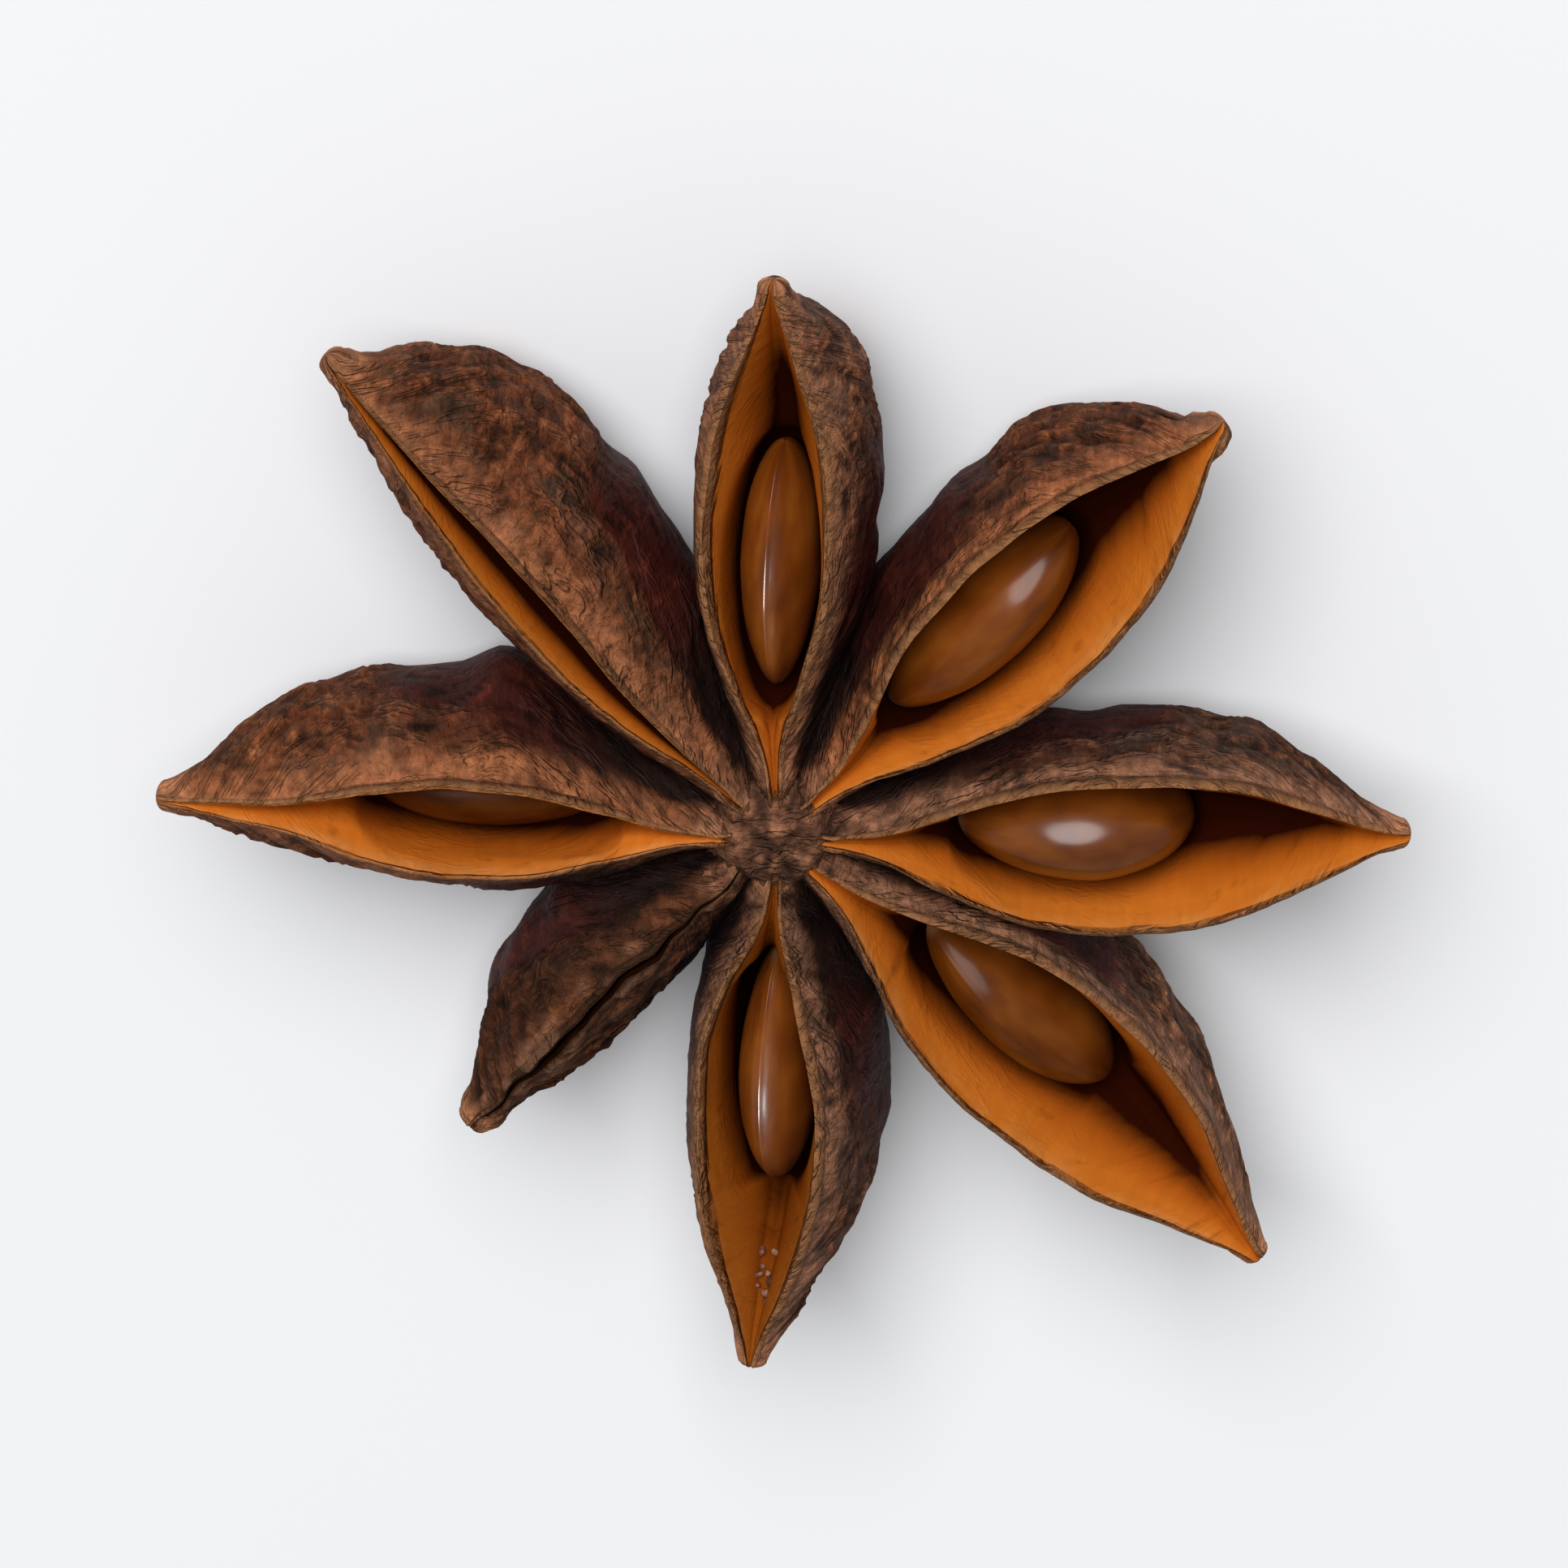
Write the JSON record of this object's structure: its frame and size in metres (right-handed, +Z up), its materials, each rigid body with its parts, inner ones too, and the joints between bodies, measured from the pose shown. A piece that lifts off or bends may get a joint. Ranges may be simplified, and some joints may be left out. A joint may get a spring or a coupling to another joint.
{
  "type": "star anise pod",
  "caption": "Dried star anise pod with its boat-shaped follicles split along the top around a short column, showing glossy seeds, for cooking and garnish.",
  "frame": {"origin": "on the ground, under the middle of the pod's box", "axes": "+Z up along the pod's central column, with the splits of the follicles facing up; +X towards the follicle named east, +Y towards the one named north"},
  "size_m": [0.0366, 0.0368, 0.0081],
  "materials": {
    "husk": "matt, dry and wrinkled outside, satin tan inside",
    "seed": "smooth and glossy amber-brown seed coat"
  },
  "bodies": {
    "root": {"pod": "husk", "seed_east": "seed", "seed_north_east": "seed", "seed_north": "seed", "seed_west": "seed", "seed_south": "seed", "seed_south_east": "seed"}
  },
  "joints": []
}
